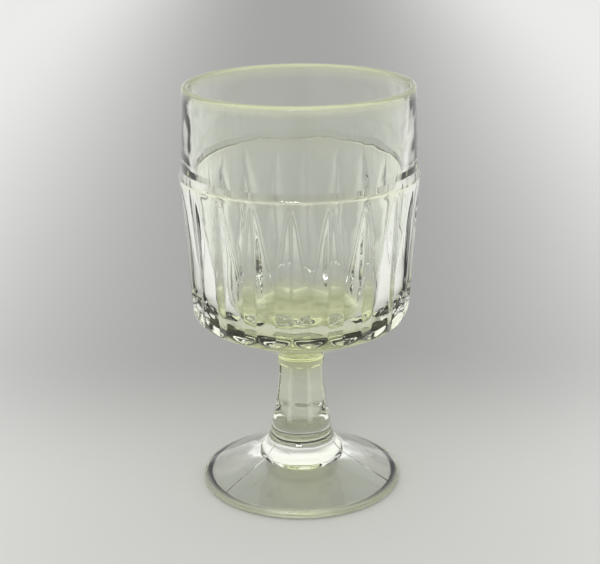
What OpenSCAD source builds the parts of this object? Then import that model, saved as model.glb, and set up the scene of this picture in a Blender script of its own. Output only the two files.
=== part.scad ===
// Water goblet in clear pressed glass: a fluted bowl, an eight-sided stem and a spreading round foot.
// Millimetres, +Z up, the axis on Z and the resting ring of the foot at Z = 0.

/* [Overall] */
// Height from the table to the top of the rim
goblet_height = 156; // [150:0.5:165]
// Height of the level where the foot is fused to the stem
foot_joint_height = 18; // [16:0.5:21]
// Length of the stem between its two fused joints
stem_length = 32; // [26:0.5:40]

/* [Bowl] */
// Outside radius just under the rim
rim_radius = 42.55; // [40:0.05:45]
// Wall thickness at the rim
rim_wall = 2.7; // [2:0.1:4]
// Rounding of the fire-polished lip
lip_rounding = 1.25; // [0.6:0.05:1.3]
// How much wider the bottom of the plain band is than the rim, on the radius
band_swell = 1.1; // [0:0.05:2]
// How far the top of the fluted wall stands out past the plain band
ring_step = 0.7; // [0.3:0.05:1.5]
// Height of the sloping shoulder between the fluted wall and the plain band
shoulder_height = 3; // [1:0.1:4]
// Height of the fluted wall
flute_wall_height = 54.7; // [45:0.1:60]
// How much narrower the fluted wall is at its bottom than at its top, on the radius
wall_draw = 3.55; // [1:0.05:6]
// Rounding between the fluted wall and the underside
base_rounding = 8; // [3:0.5:10]
// Height of the sloping underside, from the neck to the fluted wall
underside_rise = 15.4; // [10:0.1:20]
// Height of the neck between the stem and the underside
neck_rise = 2.9; // [2.6:0.1:6]
// Hollow rounding between the underside and the neck
neck_rounding = 3.5; // [2:0.1:4]
// Thickness of the wall where it would meet the floor of the inside
base_wall = 4; // [3:0.1:6]
// Height of solid glass from the stem to the floor of the inside
base_thickness = 15; // [12:0.5:24]
// Rounding between the inside wall and the floor
cavity_rounding = 19; // [5:0.5:22]

/* [Flutes] */
// Number of flutes round the bowl
flute_count = 20; // [16:1:24]
// Turn of the first flute from +X in degrees
flute_turn = 4.8; // [0:0.1:18]
// Depth of a flute below the ridges beside it
flute_depth = 2.2; // [1.4:0.05:2.6]
// Width of the narrow land left along each ridge
ridge_land = 0.8; // [0.4:0.05:1.6]
// Height of the plain ring left above the flutes
flute_top_drop = 2; // [0.5:0.1:4]
// Length of the sloping head of a flute, which is part of one cone round the bowl
flute_head_length = 30; // [15:0.5:36]

/* [Stem] */
// Radius of the stem under the bowl, over its corners
stem_top_radius = 8.85; // [7.5:0.05:10]
// Distance from the bowl down to where the stem starts to widen
stem_waist_drop = 6.5; // [5:0.5:12]
// Rounding of the stem where it starts to widen
waist_rounding = 45; // [20:1:50]
// Radius where the stem would meet the top of the foot, over its corners
stem_base_radius = 12.5; // [10.5:0.1:14]
// Hollow rounding where the stem spreads into the foot
flare_rounding = 13; // [8:0.5:14]
// Number of flat sides
side_count = 8; // [6:1:10]
// Turn of the first flat side from +X in degrees
side_turn = -3.3; // [-45:0.1:45]
// Width of the narrow land left along each corner
corner_land = 0.5; // [0.3:0.05:1.5]
// Height of the lower end of the flat sides above the fused joint
side_bottom_rise = 4; // [1:0.5:8]
// Rounding of the lower end of a flat side
side_end_rounding = 9; // [5:0.5:12]
// Gap between the upper end of the flat sides and the bowl
side_top_gap = 0.6; // [0.3:0.1:2]
// Rounding of the upper end of a flat side
side_head_rounding = 1.5; // [0.5:0.1:3]

/* [Foot] */
// Outside radius of the foot
foot_radius = 38.2; // [34:0.1:42]
// Thickness of the edge of the foot
foot_edge = 3; // [2.5:0.1:4]
// Height of the lower corner of the edge above the table
edge_lift = 0.9; // [0.5:0.05:1.2]
// Rounding of the upper corner of the edge
edge_rounding = 1.2; // [0.6:0.05:1.4]
// Rounding of the lower corner of the edge
edge_foot_rounding = 0.8; // [0.4:0.05:1]
// Height where the top of the foot would meet the stem
foot_crown_height = 15.1; // [12:0.1:16]
// Distance of the flat resting ring inside the edge of the foot
rest_inset = 1.8; // [1.4:0.1:5]
// Width of the flat resting ring
rest_width = 2.8; // [1.5:0.1:5]
// Radius of the flat middle of the hollow under the foot
hollow_radius = 13.5; // [10:0.5:20]
// Height of the hollow under the foot
hollow_height = 6.6; // [3:0.1:8]
// Rounding at the edge of the flat middle of the hollow
hollow_rounding = 4; // [1:0.5:8]

/* [Hidden] */
// Steps round the whole goblet
$fn = 96;
// Steps in each rounding of an outline
round_steps = 7;
// Share of a length that a cutter reaches past the glass
reach_share = 0.2;
reach = rim_radius * reach_share;
bowl_joint_height = foot_joint_height + stem_length;
neck_height = bowl_joint_height + neck_rise;
base_height = neck_height + underside_rise;
ring_height = base_height + flute_wall_height;
band_bottom_height = ring_height + shoulder_height;
band_radius = rim_radius + band_swell;
ring_radius = band_radius + ring_step;
base_radius = ring_radius - wall_draw;
cavity_base_radius = base_radius - base_wall;
cavity_floor_height = bowl_joint_height + base_thickness;
flute_top_height = ring_height - flute_top_drop;
// Lean of the fluted wall from upright in degrees
wall_lean = atan(wall_draw / flute_wall_height);
// Radius of the fluted wall at the middle of the flutes
flute_mid_height = (flute_top_height + base_height) / 2;
flute_mid_radius = base_radius + (flute_mid_height - base_height) * tan(wall_lean);
// Half the angle between the lands beside a flute
flute_half_angle = 180 / flute_count - asin(ridge_land / 2 / flute_mid_radius);
valley_radius = flute_mid_radius - flute_depth;
ridge_across = flute_mid_radius * sin(flute_half_angle);
ridge_out = flute_mid_radius * cos(flute_half_angle) - valley_radius;
// The cone of the heads runs from the valleys at its lower end to the ridges at its upper end
head_bottom_height = flute_top_height - flute_head_length;
head_bottom_radius = valley_radius + (head_bottom_height - flute_mid_height) * tan(wall_lean);
head_top_radius = base_radius + (flute_top_height - base_height) * tan(wall_lean);
head_slope = (head_top_radius - head_bottom_radius) / flute_head_length;
stem_waist_height = bowl_joint_height - stem_waist_drop;
// Lean of the stem's corners from upright in degrees
stem_lean = atan((stem_base_radius - stem_top_radius) / (stem_waist_height - foot_crown_height));
side_bottom_height = foot_joint_height + side_bottom_rise;
side_top_height = bowl_joint_height - side_top_gap;
// Half the angle between the lands beside a flat side
side_half_angle = 180 / side_count - asin(corner_land / 2 / stem_top_radius);
// Distances of a flat side from the axis at its waist and at its lower end
side_waist_distance = stem_top_radius * cos(side_half_angle);
side_bottom_distance = side_waist_distance
    + (stem_waist_height - side_bottom_height) * tan(stem_lean) * cos(side_half_angle);
rest_outer_radius = foot_radius - rest_inset;
rest_inner_radius = rest_outer_radius - rest_width;

// Unit vector along v
function unit(v) = v / norm(v);

// Points along the rounding of the corner b between a and c
function rounding(a, b, c, r) =
    let (u = unit(a - b))
    let (w = unit(c - b))
    let (half = acos(u * w) / 2)
    let (centre = b + unit(u + w) * r / sin(half))
    let (start = b + u * r / tan(half) - centre)
    let (finish = b + w * r / tan(half) - centre)
    let (first = atan2(start.y, start.x))
    let (turn = (atan2(finish.y, finish.x) - first + 540) % 360 - 180)
    [for (i = [0:round_steps]) centre + r * [cos(first + turn * i / round_steps),
                                             sin(first + turn * i / round_steps)]];

// Outline through corners given as [radius, height, rounding]
function rounded(corners) =
    [for (i = [0:len(corners) - 1])
        let (at = corners[i])
        let (before = corners[(i + len(corners) - 1) % len(corners)])
        let (after = corners[(i + 1) % len(corners)])
        each at[2] == 0 ? [[at[0], at[1]]]
            : rounding([before[0], before[1]], [at[0], at[1]], [after[0], after[1]], at[2])];

// Section of the bowl before its flutes are pressed
module bowl_blank() {
    rotate_extrude()
        polygon(rounded([
            [0, bowl_joint_height, 0],
            [stem_top_radius, bowl_joint_height, 0],
            [stem_top_radius, neck_height, neck_rounding],
            [base_radius, base_height, base_rounding],
            [ring_radius, ring_height, 0],
            [band_radius, band_bottom_height, 0],
            [rim_radius, goblet_height, lip_rounding],
            [rim_radius - rim_wall, goblet_height, lip_rounding],
            [cavity_base_radius, cavity_floor_height, cavity_rounding],
            [0, cavity_floor_height, 0]]));
}

// Wedge with its edge on the valley of a flute
module flute_wedge() {
    translate([valley_radius, 0, flute_mid_height])
        rotate([0, wall_lean, 0])
            translate([0, 0, -flute_wall_height])
                linear_extrude(flute_wall_height * 2)
                    polygon([[0, 0],
                             [ridge_out + reach, -ridge_across * (ridge_out + reach) / ridge_out],
                             [ridge_out + reach, ridge_across * (ridge_out + reach) / ridge_out]]);
}

// Glass that the flute wedges leave standing: the cone of the heads and all above it
module head_cone() {
    translate([0, 0, head_bottom_height - reach])
        cylinder(h = flute_head_length + reach * 2,
                 r1 = head_bottom_radius - head_slope * reach,
                 r2 = head_top_radius + head_slope * reach);
    translate([0, 0, flute_top_height])
        cylinder(h = flute_wall_height, r = ring_radius + reach * 2);
}

// Bowl with a ring of flutes pressed into its wall
module bowl() {
    color([0.86, 0.93, 0.86, 0.55])
        difference() {
            bowl_blank();
            difference() {
                for (i = [0:flute_count - 1])
                    rotate([0, 0, flute_turn + i * 360 / flute_count])
                        flute_wedge();
                head_cone();
            }
        }
}

// Cut for one flat side of the stem, which follows the stem's outline and has rounded ends
module side_cut() {
    rotate([90, 0, 0])
        translate([0, 0, -stem_base_radius])
            linear_extrude(stem_base_radius * 2)
                polygon(rounded([
                    [side_bottom_distance + reach * 2, side_bottom_height, 0],
                    [side_bottom_distance, side_bottom_height, side_end_rounding],
                    [side_waist_distance, stem_waist_height, waist_rounding],
                    [side_waist_distance, side_top_height, side_head_rounding],
                    [side_bottom_distance + reach * 2, side_top_height, 0]]));
}

// Stem with its flat sides
module stem() {
    color([0.8, 0.9, 0.82, 0.6])
        difference() {
            intersection() {
                pedestal();
                translate([0, 0, foot_joint_height])
                    cylinder(h = bowl_joint_height - foot_joint_height, r = foot_radius);
            }
            for (i = [0:side_count - 1])
                rotate([0, 0, side_turn + i * 360 / side_count])
                    side_cut();
        }
}

// Stem and foot together as one turned shape
module pedestal() {
    rotate_extrude()
        polygon(rounded([
            [0, bowl_joint_height, 0],
            [0, hollow_height, 0],
            [hollow_radius, hollow_height, hollow_rounding],
            [rest_inner_radius, 0, 0],
            [rest_outer_radius, 0, 0],
            [foot_radius, edge_lift, edge_foot_rounding],
            [foot_radius, foot_edge, edge_rounding],
            [stem_base_radius, foot_crown_height, flare_rounding],
            [stem_top_radius, stem_waist_height, waist_rounding],
            [stem_top_radius, bowl_joint_height, 0]]));
}

// Spreading foot with a resting ring and a shallow hollow underneath
module foot() {
    color([0.82, 0.9, 0.86, 0.6])
        intersection() {
            pedestal();
            cylinder(h = foot_joint_height, r = foot_radius + reach);
        }
}

bowl();
stem();
foot();
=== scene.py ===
"""Water goblet in clear pressed glass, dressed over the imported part.

Sizes are in millimetres as in the part's source, and meshes are made in metres.
"""

import math
from collections import namedtuple

import bpy
import numpy as np
from mathutils import Matrix, Vector


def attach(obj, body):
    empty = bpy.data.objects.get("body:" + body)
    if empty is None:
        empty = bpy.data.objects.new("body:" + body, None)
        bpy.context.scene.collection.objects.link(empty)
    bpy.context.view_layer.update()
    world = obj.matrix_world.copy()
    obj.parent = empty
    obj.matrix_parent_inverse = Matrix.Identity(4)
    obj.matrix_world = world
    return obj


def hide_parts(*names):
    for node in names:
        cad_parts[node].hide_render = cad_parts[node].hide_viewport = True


MM = 0.001

# Overall, as in the part's source
GOBLET_HEIGHT = 156.0
FOOT_JOINT = 18.0
STEM_LENGTH = 32.0
BOWL_JOINT = FOOT_JOINT + STEM_LENGTH

# Bowl
RIM_RADIUS = 42.55
RIM_WALL = 2.7
LIP_ROUNDING = 1.25
BAND_SWELL = 1.1
RING_STEP = 0.7
SHOULDER = 3.0
FLUTE_WALL = 54.7
WALL_DRAW = 3.55
BASE_ROUNDING = 8.0
UNDERSIDE_RISE = 15.4
NECK_RISE = 2.9
NECK_ROUNDING = 3.5
BASE_WALL = 4.0
BASE_THICKNESS = 15.0
CAVITY_ROUNDING = 19.0
NECK_HEIGHT = BOWL_JOINT + NECK_RISE
BASE_HEIGHT = NECK_HEIGHT + UNDERSIDE_RISE
RING_HEIGHT = BASE_HEIGHT + FLUTE_WALL
BAND_BOTTOM = RING_HEIGHT + SHOULDER
BAND_RADIUS = RIM_RADIUS + BAND_SWELL
RING_RADIUS = BAND_RADIUS + RING_STEP
BASE_RADIUS = RING_RADIUS - WALL_DRAW
CAVITY_BASE_RADIUS = BASE_RADIUS - BASE_WALL
CAVITY_FLOOR = BOWL_JOINT + BASE_THICKNESS

# Flutes
FLUTE_COUNT = 20
FLUTE_TURN = 4.8
FLUTE_DEPTH = 2.2
RIDGE_LAND = 0.8
FLUTE_TOP_DROP = 2.0
FLUTE_HEAD_LENGTH = 30.0
FLUTE_TOP = RING_HEIGHT - FLUTE_TOP_DROP
FLUTE_MIDDLE = (FLUTE_TOP + BASE_HEIGHT) / 2
FLUTE_HEAD_END = FLUTE_TOP - FLUTE_HEAD_LENGTH

# Stem
STEM_TOP_RADIUS = 8.85
STEM_WAIST_DROP = 6.5
WAIST_ROUNDING = 45.0
STEM_BASE_RADIUS = 12.5
FLARE_ROUNDING = 13.0
SIDE_COUNT = 8
SIDE_TURN = -3.3
CORNER_LAND = 0.5
SIDE_BOTTOM_RISE = 4.0
SIDE_END_ROUNDING = 9.0
SIDE_TOP_GAP = 0.6
SIDE_HEAD_ROUNDING = 1.5
STEM_WAIST = BOWL_JOINT - STEM_WAIST_DROP
SIDE_BOTTOM = FOOT_JOINT + SIDE_BOTTOM_RISE
SIDE_TOP = BOWL_JOINT - SIDE_TOP_GAP

# Foot
FOOT_RADIUS = 38.2
FOOT_EDGE = 3.0
EDGE_LIFT = 0.9
EDGE_ROUNDING = 1.2
EDGE_FOOT_ROUNDING = 0.8
FOOT_CROWN = 15.1
REST_INSET = 1.8
REST_WIDTH = 2.8
HOLLOW_RADIUS = 13.5
HOLLOW_HEIGHT = 6.6
HOLLOW_ROUNDING = 4.0
REST_OUTER = FOOT_RADIUS - REST_INSET
REST_INNER = REST_OUTER - REST_WIDTH

# Softness that fire polishing leaves on the pressed edges. On a flute it grows over POLISH_FADE, from
# its least share at the flute's top.
POLISH_RIDGE = 0.2
POLISH_VALLEY = 0.15
POLISH_HEAD = 0.2
POLISH_FADE = 6.0
LEAST_POLISH_SHARE = 0.01
POLISH_CORNER = 0.15
POLISH_SHOULDER = 0.4
REST_INNER_ROUNDING = 1.5
REST_OUTER_ROUNDING = 0.6

# Fine line round the ring, where the halves of the mould met
RING_LINE_RISE = 0.14
RING_LINE_REACH = 0.4
RING_LINE_ROUNDING = 0.12

# Mould seams on the foot, which end short of its edge and of the stem
SEAM_COUNT = 3
SEAM_TURN = -22.5
SEAM_HEIGHT = 0.16
SEAM_WIDTH = 0.45
SEAM_EDGE_GAP = 0.4
SEAM_FADE = 2.0

# Gap between two sections at a fused joint, too small to see
JOINT_GAP = 0.02

# Fineness of the meshes. Columns crowd towards ridges, valleys and corners by a share, and they lie
# closer within SEAM_REACH, in radians, of a mould seam. Rows lie closer from just under the flutes' heads.
SECTOR_COLUMNS = 25
CROWDING_SHARE = 0.7
SEAM_REACH = 0.05
SEAM_COLUMNS = 10
FOOT_COLUMNS = 42
HEAD_MARGIN = 1.0
WELD_DISTANCE = 0.005

# Glass: the tint of one surface where it is clear and where it looks deepest, and the share of the light
# that still passes the fullest haze of the painted highlights
GLASS_IOR = 1.52
CLEAR_TINT = (0.972, 0.99, 0.957)
DEEP_TINT = (0.92, 0.97, 0.48)
STREAK_SHARE = 0.12
HIGHLIGHT_HAZE_CLARITY = 0.48

# Slow waves that pressing leaves on the surface
WAVE_HEIGHT = 0.35
WAVES_PER_METRE = 70.0
WAVE_DETAIL = 1.5

# Polish of the surface, and the wear of the resting ring, which fades out up to WEAR_TOP
POLISHED_ROUGHNESS = 0.012
WORN_ROUGHNESS = 0.35
WEAR_BOTTOM = 0.1
WEAR_TOP = 0.9
WEAR_MARKS_PER_METRE = 900.0
WEAR_DETAIL = 4.0

# How deep the glass looks, from 0 to 1. The base is 1, and its depth fades out up to BASE_DEPTH_REACH over
# the bottom of the fluted wall.
BASE_DEPTH_REACH = 8.0
LIP_DEPTH = 0.6
RING_DEPTH = 0.3
RING_DEPTH_REACH = 1.5
STEM_DEPTH = 0.2
NECK_DEPTH = 0.8
EDGE_DEPTH = 0.45
CROWN_DEPTH = 0.15

# Painted highlights: whitish haze, from 0 to 1, on the lip, the ring, the foot's edge and the stem's
# corners, where the glass shows bright lines of light, and on the heel, where light gathers in the base.
# The heel is the rounding under the fluted wall, and its haze starts at a radius. A corner of the stem
# turns hazy where it stands out past the flat side by a share.
LIP_PAINTED_HIGHLIGHT = 0.75
LIP_TONE_START = GOBLET_HEIGHT - 1.5 * LIP_ROUNDING
RING_PAINTED_HIGHLIGHT = 0.6
RING_HIGHLIGHT_REACH = 0.5
HEEL_PAINTED_HIGHLIGHT = 0.15
HEEL_HIGHLIGHT_START = 26.0
HEEL_HIGHLIGHT_FADE = 4.0
HEEL_HIGHLIGHT_RISE = 3.0
CORNER_PAINTED_HIGHLIGHT = 0.4
CORNER_HIGHLIGHT_SHARE = 0.035
EDGE_PAINTED_HIGHLIGHT = 0.7
EDGE_TONE_REACH = 2.0

# Camera fitted to the goblet's rim, shoulder and foot, in goblet heights and degrees. Its focal length is
# in pixels of the photograph.
CAMERA_DISTANCE = 3.3686 * GOBLET_HEIGHT
CAMERA_HEIGHT = 1.6335 * GOBLET_HEIGHT
CAMERA_SIDE = -0.0009 * GOBLET_HEIGHT
CAMERA_PITCH = 18.37
CAMERA_ROLL = -0.42
CAMERA_NEAR_LIMIT = 10.0
FOCAL_PIXELS = 1466.3
IMAGE_WIDTH = 600
SENSOR_WIDTH = 36.0

# Studio, in metres. The paper's tone darkens from front to back over PAPER_DEPTH, a painted shade behind
# the goblet, and lightens from its middle to its sides over PAPER_SIDES, a painted light. Sky levels are
# given at heights from 0 at the horizon to 1 overhead.
FLOOR_HALF_WIDTH = 5.0
FLOOR_BACK = 6.0
PAPER_DEPTH = (-0.04, 0.16)
PAPER_SIDES = (0.0, 0.34)
PAPER_FRONT_COLOUR = (0.62, 0.62, 0.60)
# The back colour is painted shade behind the goblet, and the side colour is painted light.
PAPER_PAINTED_SHADE_COLOUR = (0.36, 0.36, 0.35)
PAPER_PAINTED_LIGHT_COLOUR = (0.86, 0.86, 0.84)
PAPER_ROUGHNESS = 0.9
SKY_LEVELS = ((0.1, 0.92), (0.19, 0.55), (0.26, 0.55), (0.4, 1.0))
KEY_PLACE = (-0.21, -1.3, 0.59)
KEY_AIM = (0, 0, 0.08)
KEY_SIZE = (0.44, 0.12)
KEY_POWER = 3.8


# Outlines

# A corner of an outline, with the steps in its rounding and the most that points lie apart after it
Corner = namedtuple("Corner", "radius height rounding steps spacing", defaults=(0, 0, math.inf))


def unit(v):
    """The direction of v, as a vector of length 1."""
    return v / np.linalg.norm(v)


def corner_arc(before, at, after, radius, steps):
    """Points along the rounding of one corner of an outline."""
    u, w = unit(before - at), unit(after - at)
    half = math.acos(float(np.clip(u @ w, -1, 1))) / 2
    centre = at + unit(u + w) * radius / math.sin(half)
    start = at + u * radius / math.tan(half) - centre
    finish = at + w * radius / math.tan(half) - centre
    first = math.atan2(start[1], start[0])
    turn = (math.atan2(finish[1], finish[0]) - first + 3 * math.pi) % (2 * math.pi) - math.pi
    angles = [first + turn * i / steps for i in range(steps + 1)]
    return [centre + radius * np.array([math.cos(a), math.sin(a)]) for a in angles]


def outline(corners):
    """Points (radius, height) of an open outline through corners."""
    places = [np.array([c.radius, c.height], float) for c in corners]
    points = []
    for i, corner in enumerate(corners):
        arc = [places[i]]
        if corner.rounding:
            arc = corner_arc(places[i - 1], places[i], places[i + 1], corner.rounding, corner.steps)
        if points:
            last = points[-1]
            cuts = max(1, math.ceil(np.linalg.norm(arc[0] - last) / corners[i - 1].spacing))
            points += [last + (arc[0] - last) * k / cuts for k in range(1, cuts)]
        points += arc
    return np.array(points)


def cut_outline_at(points, height, above):
    """Part of an outline on one side of a level, ending exactly on that level."""
    kept = []
    for a, b in zip(points[:-1], points[1:]):
        inside_a = (a[1] > height) == above
        inside_b = (b[1] > height) == above
        if inside_a and not kept:
            kept.append(a)
        if inside_a != inside_b:
            kept.append(a + (b - a) * (height - a[1]) / (b[1] - a[1]))
        if inside_b:
            kept.append(b)
    return np.array(kept)


def soft_max(a, b, k):
    """The larger of two lengths, blended over k where they are near each other."""
    h = np.clip(0.5 + 0.5 * (a - b) / k, 0, 1)
    return b * (1 - h) + a * h + k * h * (1 - h)


def soft_min(a, b, k):
    """The smaller of two lengths, blended in the same way."""
    return -soft_max(-a, -b, k)


def smooth_step(t):
    """A smooth rise from 0 to 1 as t goes from 0 to 1."""
    t = np.clip(t, 0, 1)
    return t * t * (3 - 2 * t)


# Sectors

def crowded_azimuths(half_turn, spots):
    """Azimuths of a sector's columns, crowded at both its ends and, with two spots, in its middle."""
    turn = np.linspace(-1, 1, SECTOR_COLUMNS)
    wave = spots * math.pi
    return half_turn * (turn - CROWDING_SHARE * np.sin(wave * (turn + 1)) / wave)


def sector_mesh(name, rows, azimuths, shape, joint_rows, tones):
    """One sector of a turned shape, with a mark on the level faces that start at the joint rows.

    The shape gives the points of a row, and a row on the axis becomes one point. Each tone is a number
    from 0 to 1 at every point, which the glass reads.
    """
    verts, index, faces, joint = [], [], [], []
    for k, (r, z) in enumerate(rows):
        if r == 0:
            index.append([len(verts)] * len(azimuths))
            verts.append((0.0, 0.0, z * MM))
            continue
        index.append(list(range(len(verts), len(verts) + len(azimuths))))
        for (radius, height), a in zip(shape(k, r, z, azimuths), azimuths):
            verts.append((radius * math.cos(a) * MM, radius * math.sin(a) * MM, height * MM))
    for k in range(len(rows) - 1):
        for j in range(len(azimuths) - 1):
            loop = [index[k][j], index[k][j + 1], index[k + 1][j + 1], index[k + 1][j]]
            faces.append([v for n, v in enumerate(loop) if v != loop[n - 1]])
            joint.append(k in joint_rows)
    mesh = bpy.data.meshes.new(name)
    mesh.from_pydata(verts, [], faces)
    mark = mesh.attributes.new("fused_joint", "BOOLEAN", "FACE")
    mark.data.foreach_set("value", joint)
    for tone, rule in tones.items():
        values = [rule(math.hypot(x, y) / MM, z / MM) for x, y, z in verts]
        mesh.attributes.new(tone, "FLOAT", "POINT").data.foreach_set("value", values)
    mesh.polygons.foreach_set("use_smooth", [not j for j in joint])
    mesh.update()
    return mesh


# Bowl

def wall_radius(z):
    """Radius of the fluted wall over its ridges at a height."""
    return BASE_RADIUS + (z - BASE_HEIGHT) * WALL_DRAW / FLUTE_WALL


def valley_radius(z):
    """Radius of the fluted wall in its valleys at a height."""
    return wall_radius(z) - FLUTE_DEPTH


def head_radius(z):
    """Radius of the cone of the flutes' heads, which runs from the valleys up to the ridges."""
    low = valley_radius(FLUTE_HEAD_END)
    return low + (z - FLUTE_HEAD_END) * (wall_radius(FLUTE_TOP) - low) / FLUTE_HEAD_LENGTH


def flute_slope():
    """How much a side of a flute comes out from its valley for each step across, at half height."""
    radius = wall_radius(FLUTE_MIDDLE)
    half = math.pi / FLUTE_COUNT - math.asin(RIDGE_LAND / 2 / radius)
    return (radius * math.cos(half) - valley_radius(FLUTE_MIDDLE)) / (radius * math.sin(half))


def fluted(r, z, angles):
    """Radii of the pressed wall at angles from a valley, where the plain wall has radius r."""
    # A flat side keeps radius * (cos - slope * sin) at the valley's radius. The root rounds the valley.
    across = np.sqrt(np.sin(angles) ** 2 + (POLISH_VALLEY / BASE_RADIUS) ** 2)
    sides = valley_radius(z) / (np.cos(angles) - flute_slope() * across)
    share = LEAST_POLISH_SHARE + (1 - LEAST_POLISH_SHARE) * smooth_step((FLUTE_TOP - z) / POLISH_FADE)
    cut = soft_max(sides, head_radius(z), POLISH_HEAD * share)
    return soft_min(r, cut, POLISH_RIDGE * share)


def bowl_rows():
    """Outline of the bowl, from the joint round the outside, over the lip and down to the floor."""
    close_from = FLUTE_HEAD_END - HEAD_MARGIN
    line_low = RING_HEIGHT - RING_LINE_REACH
    line_high = RING_HEIGHT + RING_LINE_REACH
    bottom = BOWL_JOINT + JOINT_GAP / 2
    return outline([
        Corner(0, bottom, spacing=4.2),
        Corner(STEM_TOP_RADIUS, bottom, spacing=0.8),
        Corner(STEM_TOP_RADIUS, NECK_HEIGHT, NECK_ROUNDING, steps=9, spacing=3.0),
        Corner(BASE_RADIUS, BASE_HEIGHT, BASE_ROUNDING, steps=20, spacing=1.5),
        Corner(wall_radius(close_from), close_from, spacing=0.7),
        Corner(wall_radius(line_low), line_low),
        Corner(RING_RADIUS + RING_LINE_RISE, RING_HEIGHT, RING_LINE_ROUNDING, steps=5),
        Corner(RING_RADIUS - RING_STEP * RING_LINE_REACH / SHOULDER, line_high, spacing=0.5),
        Corner(BAND_RADIUS, BAND_BOTTOM, POLISH_SHOULDER, steps=5, spacing=3.0),
        Corner(RIM_RADIUS, GOBLET_HEIGHT, LIP_ROUNDING, steps=9, spacing=0.3),
        Corner(RIM_RADIUS - RIM_WALL, GOBLET_HEIGHT, LIP_ROUNDING, steps=9, spacing=5.0),
        Corner(CAVITY_BASE_RADIUS, CAVITY_FLOOR, CAVITY_ROUNDING, steps=28, spacing=4.0),
        Corner(0, CAVITY_FLOOR)])


def bowl_sector():
    """Bowl from ridge to ridge, round one valley."""
    rows = bowl_rows()
    lip_row = int(np.argmax(rows[:, 1]))

    def shape(k, r, z, angles):
        if k > lip_row or not BASE_HEIGHT - BASE_ROUNDING <= z < FLUTE_TOP:
            return [(r, z)] * len(angles)
        return [(radius, z) for radius in fluted(r, z, angles)]

    def base(z):
        fade = BASE_DEPTH_REACH + BASE_ROUNDING
        return smooth_step((BASE_HEIGHT + BASE_DEPTH_REACH - z) / fade)

    def lip(z):
        return smooth_step((z - LIP_TONE_START) / LIP_ROUNDING)

    def heel(r, z):
        under = smooth_step((BASE_HEIGHT + HEEL_HIGHLIGHT_RISE - z) / HEEL_HIGHLIGHT_RISE)
        return under * smooth_step((r - HEEL_HIGHLIGHT_START) / HEEL_HIGHLIGHT_FADE)

    def ring(z, reach):
        return math.exp(-((z - RING_HEIGHT) / reach) ** 2)

    def depth(r, z):
        return max(base(z), LIP_DEPTH * lip(z), RING_DEPTH * ring(z, RING_DEPTH_REACH))

    # Painted highlight: whitish haze on the lip, the ring and the heel
    def painted_highlight(r, z):
        return max(LIP_PAINTED_HIGHLIGHT * lip(z), RING_PAINTED_HIGHLIGHT * ring(z, RING_HIGHLIGHT_REACH), HEEL_PAINTED_HIGHLIGHT * heel(r, z))

    joint_rows = [k for k in range(len(rows) - 1) if rows[k + 1][1] < BOWL_JOINT + JOINT_GAP]
    azimuths = crowded_azimuths(math.pi / FLUTE_COUNT, 2)
    tones = dict(glass_depth=depth, painted_highlight_haze=painted_highlight)
    return sector_mesh("bowl_flute", rows, azimuths, shape, joint_rows, tones)


# Stem and foot

def pedestal():
    """Outline of the stem and the foot together, from the hollow round the edge and up to the bowl."""
    return outline([
        Corner(0, HOLLOW_HEIGHT, spacing=3.0),
        Corner(HOLLOW_RADIUS, HOLLOW_HEIGHT, HOLLOW_ROUNDING, steps=8, spacing=1.6),
        Corner(REST_INNER, 0, REST_INNER_ROUNDING, steps=4, spacing=0.7),
        Corner(REST_OUTER, 0, REST_OUTER_ROUNDING, steps=3, spacing=0.5),
        Corner(FOOT_RADIUS, EDGE_LIFT, EDGE_FOOT_ROUNDING, steps=6, spacing=0.5),
        Corner(FOOT_RADIUS, FOOT_EDGE, EDGE_ROUNDING, steps=8, spacing=1.5),
        Corner(STEM_BASE_RADIUS, FOOT_CROWN, FLARE_ROUNDING, steps=22, spacing=0.8),
        Corner(STEM_TOP_RADIUS, STEM_WAIST, WAIST_ROUNDING, steps=16, spacing=0.3),
        Corner(STEM_TOP_RADIUS, BOWL_JOINT)])


def side_outline():
    """Distance of a flat side of the stem from the axis along its height, with its rounded ends."""
    corner_lean = (STEM_BASE_RADIUS - STEM_TOP_RADIUS) / (STEM_WAIST - FOOT_CROWN)
    shrink = math.cos(math.pi / SIDE_COUNT - math.asin(CORNER_LAND / 2 / STEM_TOP_RADIUS))
    waist = STEM_TOP_RADIUS * shrink
    bottom = waist + (STEM_WAIST - SIDE_BOTTOM) * corner_lean * shrink
    far = bottom + STEM_BASE_RADIUS
    return outline([
        Corner(far, SIDE_BOTTOM),
        Corner(bottom, SIDE_BOTTOM, SIDE_END_ROUNDING, steps=40),
        Corner(waist, STEM_WAIST, WAIST_ROUNDING, steps=16),
        Corner(waist, SIDE_TOP, SIDE_HEAD_ROUNDING, steps=20),
        Corner(far, SIDE_TOP)])


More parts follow.
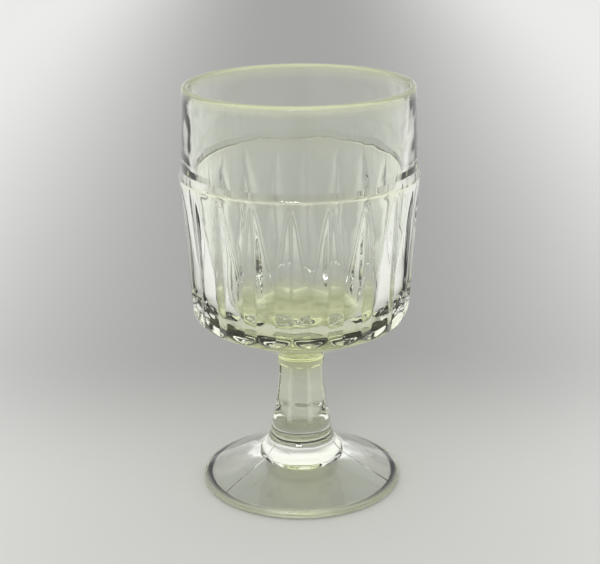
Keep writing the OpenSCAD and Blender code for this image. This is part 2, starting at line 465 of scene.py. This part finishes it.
def stem_sector():
    """Stem from corner to corner, round the middle of one flat side."""
    low = FOOT_JOINT + JOINT_GAP / 2
    high = BOWL_JOINT - JOINT_GAP / 2
    wall = cut_outline_at(cut_outline_at(pedestal(), low, True), high, False)
    bottom = [(0, low), (wall[0][0] / 2, low)]
    top = [(wall[-1][0] / 2, high), (0, high)]
    rows = np.vstack([bottom, wall, top])
    side = side_outline()

    def flat(z):
        return np.interp(z, side[:, 1], side[:, 0])

    def shape(k, r, z, angles):
        if not SIDE_BOTTOM < z < SIDE_TOP:
            return [(r, z)] * len(angles)
        return [(radius, z) for radius in soft_min(r, flat(z) / np.cos(angles), POLISH_CORNER)]

    def depth(r, z):
        rise = smooth_step((z - STEM_WAIST) / (BOWL_JOINT - STEM_WAIST))
        return STEM_DEPTH + (NECK_DEPTH - STEM_DEPTH) * rise

    # Painted highlight: whitish haze on the stem's corners
    def painted_highlight(r, z):
        return CORNER_PAINTED_HIGHLIGHT * smooth_step((r / flat(z) - 1) / CORNER_HIGHLIGHT_SHARE - 1)

    joint_rows = [0, 1, len(rows) - 3, len(rows) - 2]
    azimuths = crowded_azimuths(math.pi / SIDE_COUNT, 1)
    tones = dict(glass_depth=depth, painted_highlight_haze=painted_highlight)
    return sector_mesh("stem_side", rows, azimuths, shape, joint_rows, tones)


def foot_sector():
    """A third of the foot, round one mould seam."""
    joint = FOOT_JOINT - JOINT_GAP / 2
    wall = cut_outline_at(pedestal(), joint, False)
    rows = np.vstack([wall, [(wall[-1][0] / 2, joint), (0, joint)]])
    joint_rows = [len(rows) - 3, len(rows) - 2]
    widest = int(np.argmax(rows[:, 0]))
    near = np.linspace(0, SEAM_REACH, SEAM_COLUMNS)
    far = np.linspace(SEAM_REACH, math.pi / SEAM_COUNT, FOOT_COLUMNS)[1:]
    right = np.concatenate([near, far])
    azimuths = np.concatenate([-right[:0:-1], right])

    def shape(k, r, z, angles):
        if k <= widest or k >= joint_rows[0]:
            return [(r, z)] * len(angles)
        along = unit(rows[k + 1] - rows[k - 1])
        fade = smooth_step((FOOT_RADIUS - SEAM_EDGE_GAP - r) / SEAM_FADE)
        fade *= smooth_step((FOOT_JOINT - z) / SEAM_FADE)
        seam = SEAM_HEIGHT * fade * np.exp(-(r * angles / (SEAM_WIDTH / 2)) ** 2)
        return [(r + along[1] * rise, z - along[0] * rise) for rise in seam]

    def edge(r):
        return smooth_step((r - FOOT_RADIUS + EDGE_TONE_REACH) / EDGE_TONE_REACH)

    def crown(r):
        return smooth_step((HOLLOW_RADIUS + HOLLOW_ROUNDING - r) / HOLLOW_ROUNDING)

    def depth(r, z):
        return max(CROWN_DEPTH * crown(r), EDGE_DEPTH * edge(r))

    # Painted highlight: whitish haze on the foot's edge
    def painted_highlight(r, z):
        return EDGE_PAINTED_HIGHLIGHT * edge(r)

    tones = dict(glass_depth=depth, painted_highlight_haze=painted_highlight)
    return sector_mesh("foot_third", rows, azimuths, shape, joint_rows, tones)


# Whole sections

def ring_repeat_tree(glass, joint):
    """Geometry Nodes that repeat a sector round the axis, and the identifiers of their inputs."""
    tree = bpy.data.node_groups.new("Ring repeat", "GeometryNodeTree")
    face = tree.interface
    face.new_socket("Sector", in_out="INPUT", socket_type="NodeSocketGeometry")
    count = face.new_socket("Count", in_out="INPUT", socket_type="NodeSocketInt")
    turn = face.new_socket("Turn", in_out="INPUT", socket_type="NodeSocketFloat")
    weld = face.new_socket("Weld distance", in_out="INPUT", socket_type="NodeSocketFloat")
    face.new_socket("Ring", in_out="OUTPUT", socket_type="NodeSocketGeometry")
    new, link = tree.nodes.new, tree.links.new
    group_in, group_out = new("NodeGroupInput"), new("NodeGroupOutput")
    points = new("GeometryNodePoints")
    link(group_in.outputs["Count"], points.inputs["Count"])
    index = new("GeometryNodeInputIndex")
    step = new("ShaderNodeMath")
    step.operation = "DIVIDE"
    step.inputs[0].default_value = 2 * math.pi
    link(group_in.outputs["Count"], step.inputs[1])
    angle = new("ShaderNodeMath")
    angle.operation = "MULTIPLY_ADD"
    link(index.outputs[0], angle.inputs[0])
    link(step.outputs[0], angle.inputs[1])
    link(group_in.outputs["Turn"], angle.inputs[2])
    spin = new("ShaderNodeCombineXYZ")
    link(angle.outputs[0], spin.inputs["Z"])
    place = new("GeometryNodeInstanceOnPoints")
    link(points.outputs[0], place.inputs["Points"])
    link(group_in.outputs["Sector"], place.inputs["Instance"])
    link(spin.outputs[0], place.inputs["Rotation"])
    real = new("GeometryNodeRealizeInstances")
    link(place.outputs[0], real.inputs[0])
    merge = new("GeometryNodeMergeByDistance")
    link(real.outputs[0], merge.inputs["Geometry"])
    link(group_in.outputs["Weld distance"], merge.inputs["Distance"])
    marked = new("GeometryNodeInputNamedAttribute")
    marked.data_type = "BOOLEAN"
    marked.inputs["Name"].default_value = "fused_joint"
    set_glass = new("GeometryNodeSetMaterial")
    set_glass.inputs["Material"].default_value = glass
    link(merge.outputs[0], set_glass.inputs["Geometry"])
    set_joint = new("GeometryNodeSetMaterial")
    set_joint.inputs["Material"].default_value = joint
    link(set_glass.outputs[0], set_joint.inputs["Geometry"])
    link(marked.outputs["Attribute"], set_joint.inputs["Selection"])
    link(set_joint.outputs[0], group_out.inputs[0])
    return tree, dict(count=count.identifier, turn=turn.identifier, weld=weld.identifier)


def add_object(name, data):
    """A new object in the scene."""
    item = bpy.data.objects.new(name, data)
    bpy.context.scene.collection.objects.link(item)
    return item


def ring_of(name, sector, tree, sockets, count, turn):
    """A whole section from its sector, as a plain mesh object at the origin."""
    holder = add_object(name + "_sector", sector)
    modifier = holder.modifiers.new("Ring repeat", "NODES")
    modifier.node_group = tree
    modifier[sockets["count"]] = count
    modifier[sockets["turn"]] = math.radians(turn)
    modifier[sockets["weld"]] = WELD_DISTANCE * MM
    graph = bpy.context.evaluated_depsgraph_get()
    mesh = bpy.data.meshes.new_from_object(holder.evaluated_get(graph))
    holder.modifiers.remove(modifier)
    bpy.data.objects.remove(holder)
    mesh.name = name
    sharpen_joint_rims(mesh)
    return add_object(name, mesh)


def sharpen_joint_rims(mesh):
    """Keeps the normals of the glass apart from those of the level joint faces."""
    marked = np.zeros(len(mesh.polygons), bool)
    mesh.attributes["fused_joint"].data.foreach_get("value", marked)
    sides = {}
    for polygon, level in zip(mesh.polygons, marked):
        for key in polygon.edge_keys:
            sides.setdefault(key, set()).add(bool(level))
    sharp = [len(sides.get(tuple(sorted(edge.vertices)), ())) == 2 for edge in mesh.edges]
    attribute = mesh.attributes.get("sharp_edge") or mesh.attributes.new("sharp_edge", "BOOLEAN", "EDGE")
    attribute.data.foreach_set("value", sharp)
    mesh.update()


# Materials

def new_material(name):
    """A material with its nodes, the call that links them and its shader."""
    material = bpy.data.materials.new(name)
    material.use_nodes = True
    nodes = material.node_tree.nodes
    return material, nodes, material.node_tree.links.new, nodes["Principled BSDF"]


def set_value(node, name, value):
    """Sets one input of a node."""
    node.inputs[name].default_value = value


def pressed_glass():
    """Clear soda-lime glass with the slow waves of pressing, a tint by depth, and whitish haze on its
    edges as a painted highlight.
    """
    material, nodes, link, shader = new_material("pressed_clear_glass")
    set_value(shader, "IOR", GLASS_IOR)
    where = nodes.new("ShaderNodeTexCoord")

    # Waves in the surface
    waves = nodes.new("ShaderNodeTexNoise")
    set_value(waves, "Scale", WAVES_PER_METRE)
    set_value(waves, "Detail", WAVE_DETAIL)
    link(where.outputs["Object"], waves.inputs["Vector"])
    ripple = nodes.new("ShaderNodeBump")
    set_value(ripple, "Strength", 1.0)
    set_value(ripple, "Distance", WAVE_HEIGHT * MM)
    link(waves.outputs["Fac"], ripple.inputs["Height"])
    link(ripple.outputs["Normal"], shader.inputs["Normal"])

    # Tint by depth, with faint streaks that follow the waves
    depth = nodes.new("ShaderNodeAttribute")
    depth.attribute_name = "glass_depth"
    streaks = nodes.new("ShaderNodeMath")
    streaks.operation = "MULTIPLY_ADD"
    streaks.inputs[1].default_value = STREAK_SHARE
    link(waves.outputs["Fac"], streaks.inputs[0])
    link(depth.outputs["Fac"], streaks.inputs[2])
    tint = nodes.new("ShaderNodeValToRGB")
    for stop, colour in zip(tint.color_ramp.elements, (CLEAR_TINT, DEEP_TINT)):
        stop.color = (*colour, 1)
    link(streaks.outputs[0], tint.inputs["Fac"])
    link(tint.outputs["Color"], shader.inputs["Base Color"])

    # Painted highlights: whitish haze on the edges
    painted_highlight = nodes.new("ShaderNodeAttribute")
    painted_highlight.attribute_name = "painted_highlight_haze"
    clear = nodes.new("ShaderNodeMapRange")
    set_value(clear, "To Min", 1.0)
    set_value(clear, "To Max", HIGHLIGHT_HAZE_CLARITY)
    link(painted_highlight.outputs["Fac"], clear.inputs["Value"])
    link(clear.outputs["Result"], shader.inputs["Transmission Weight"])

    # Wear on the resting ring
    wear = nodes.new("ShaderNodeTexNoise")
    set_value(wear, "Scale", WEAR_MARKS_PER_METRE)
    set_value(wear, "Detail", WEAR_DETAIL)
    link(where.outputs["Object"], wear.inputs["Vector"])
    height = nodes.new("ShaderNodeSeparateXYZ")
    link(where.outputs["Object"], height.inputs[0])
    resting = nodes.new("ShaderNodeMapRange")
    set_value(resting, "From Min", WEAR_BOTTOM * MM)
    set_value(resting, "From Max", WEAR_TOP * MM)
    set_value(resting, "To Min", WORN_ROUGHNESS)
    set_value(resting, "To Max", POLISHED_ROUGHNESS)
    link(height.outputs["Z"], resting.inputs["Value"])
    rough = nodes.new("ShaderNodeMath")
    rough.operation = "MULTIPLY"
    link(wear.outputs["Fac"], rough.inputs[0])
    link(resting.outputs["Result"], rough.inputs[1])
    link(rough.outputs[0], shader.inputs["Roughness"])
    return material


def fused_joint():
    """The level faces where two sections are one glass: they show nothing."""
    material, _, _, shader = new_material("fused_joint_clear")
    set_value(shader, "Base Color", (1, 1, 1, 1))
    set_value(shader, "Alpha", 0.0)
    set_value(shader, "Specular IOR Level", 0.0)
    return material


def paper_painted_light_and_shade():
    """Matt paper with painted light and shade: light in front, painted shade behind the goblet and painted
    light to the sides.
    """
    material, nodes, link, shader = new_material("paper_painted_light_and_shade")
    set_value(shader, "Roughness", PAPER_ROUGHNESS)
    where = nodes.new("ShaderNodeTexCoord")
    split = nodes.new("ShaderNodeSeparateXYZ")
    link(where.outputs["Object"], split.inputs[0])
    side = nodes.new("ShaderNodeMath")
    side.operation = "ABSOLUTE"
    link(split.outputs["X"], side.inputs[0])

    def fade(distance, reach):
        ramp = nodes.new("ShaderNodeMapRange")
        ramp.interpolation_type = "SMOOTHERSTEP"
        set_value(ramp, "From Min", reach[0])
        set_value(ramp, "From Max", reach[1])
        link(distance, ramp.inputs["Value"])
        return ramp.outputs["Result"]

    def blend(factor, first, second):
        mix = nodes.new("ShaderNodeMix")
        mix.data_type = "RGBA"
        link(factor, mix.inputs[0])
        # Sockets 6 and 7 are the two colours, and output 2 is the mixed one
        for socket, colour in ((mix.inputs[6], first), (mix.inputs[7], second)):
            if isinstance(colour, tuple):
                socket.default_value = (*colour, 1)
            else:
                link(colour, socket)
        return mix.outputs[2]

    # Painted shade darkens the paper behind the goblet, and painted light lightens it to the sides
    painted_shade_behind = blend(fade(split.outputs["Y"], PAPER_DEPTH), PAPER_FRONT_COLOUR, PAPER_PAINTED_SHADE_COLOUR)
    tone = blend(fade(side.outputs[0], PAPER_SIDES), painted_shade_behind, PAPER_PAINTED_LIGHT_COLOUR)
    link(tone, shader.inputs["Base Color"])
    return material


# Studio and camera

def floor():
    """Pale floor, with painted shade behind the goblet and painted light to its sides."""
    half = FLOOR_HALF_WIDTH
    verts = [(-half, -half, 0), (half, -half, 0), (half, FLOOR_BACK, 0), (-half, FLOOR_BACK, 0)]
    mesh = bpy.data.meshes.new("pale_floor")
    mesh.from_pydata(verts, [], [(0, 1, 2, 3)])
    mesh.materials.append(paper_painted_light_and_shade())
    add_object("pale_floor", mesh)


def sky():
    """Soft light from all over, with a dimmer belt above the horizon."""
    world = bpy.data.worlds.new("studio")
    bpy.context.scene.world = world
    world.use_nodes = True
    nodes, link = world.node_tree.nodes, world.node_tree.links.new
    way = nodes.new("ShaderNodeTexCoord")
    split = nodes.new("ShaderNodeSeparateXYZ")
    link(way.outputs["Generated"], split.inputs[0])
    ramp = nodes.new("ShaderNodeValToRGB")
    stops = ramp.color_ramp.elements
    stops.remove(stops[1])
    stops[0].position = SKY_LEVELS[0][0]
    for height, _ in SKY_LEVELS[1:]:
        stops.new(height)
    for stop, (_, level) in zip(stops, SKY_LEVELS):
        stop.color = (level, level, level, 1)
    link(split.outputs["Z"], ramp.inputs["Fac"])
    link(ramp.outputs["Color"], nodes["Background"].inputs["Color"])


def key_softbox():
    """One wide softbox behind the camera, above it and to its left."""
    light = bpy.data.lights.new("key_softbox", "AREA")
    light.shape = "RECTANGLE"
    light.size, light.size_y = KEY_SIZE
    light.energy = KEY_POWER
    lamp = add_object("key_softbox", light)
    lamp.location = KEY_PLACE
    lamp.rotation_euler = (Vector(KEY_AIM) - Vector(KEY_PLACE)).to_track_quat("-Z", "Y").to_euler()


def camera():
    """Camera at the photograph's viewing angle."""
    lens = bpy.data.cameras.new("view")
    lens.sensor_width = SENSOR_WIDTH
    lens.lens = SENSOR_WIDTH * FOCAL_PIXELS / IMAGE_WIDTH
    lens.clip_start = CAMERA_NEAR_LIMIT * MM
    eye = add_object("view", lens)
    eye.location = (CAMERA_SIDE * MM, -CAMERA_DISTANCE * MM, CAMERA_HEIGHT * MM)
    tilt = Matrix.Rotation(math.radians(90 - CAMERA_PITCH), 4, "X")
    eye.rotation_euler = (tilt @ Matrix.Rotation(math.radians(CAMERA_ROLL), 4, "Z")).to_euler()
    bpy.context.scene.camera = eye


# Build

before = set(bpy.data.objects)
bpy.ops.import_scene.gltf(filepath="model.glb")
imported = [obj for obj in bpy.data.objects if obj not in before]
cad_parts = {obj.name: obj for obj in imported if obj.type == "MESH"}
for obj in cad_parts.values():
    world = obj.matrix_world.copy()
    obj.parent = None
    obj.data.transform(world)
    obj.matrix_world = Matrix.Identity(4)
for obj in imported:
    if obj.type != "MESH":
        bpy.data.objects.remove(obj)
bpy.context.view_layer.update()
bpy.context.scene.view_settings.view_transform = "Standard"
camera()
floor()
sky()
key_softbox()

tree, sockets = ring_repeat_tree(pressed_glass(), fused_joint())
for name, node, sector, count, turn in (
        ("bowl_glass", "bowl", bowl_sector(), FLUTE_COUNT, FLUTE_TURN),
        ("stem_glass", "stem", stem_sector(), SIDE_COUNT, SIDE_TURN),
        ("foot_glass", "foot", foot_sector(), SEAM_COUNT, SEAM_TURN)):
    piece = ring_of(name, sector, tree, sockets, count, turn)
    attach(piece, "root")
    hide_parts(node)
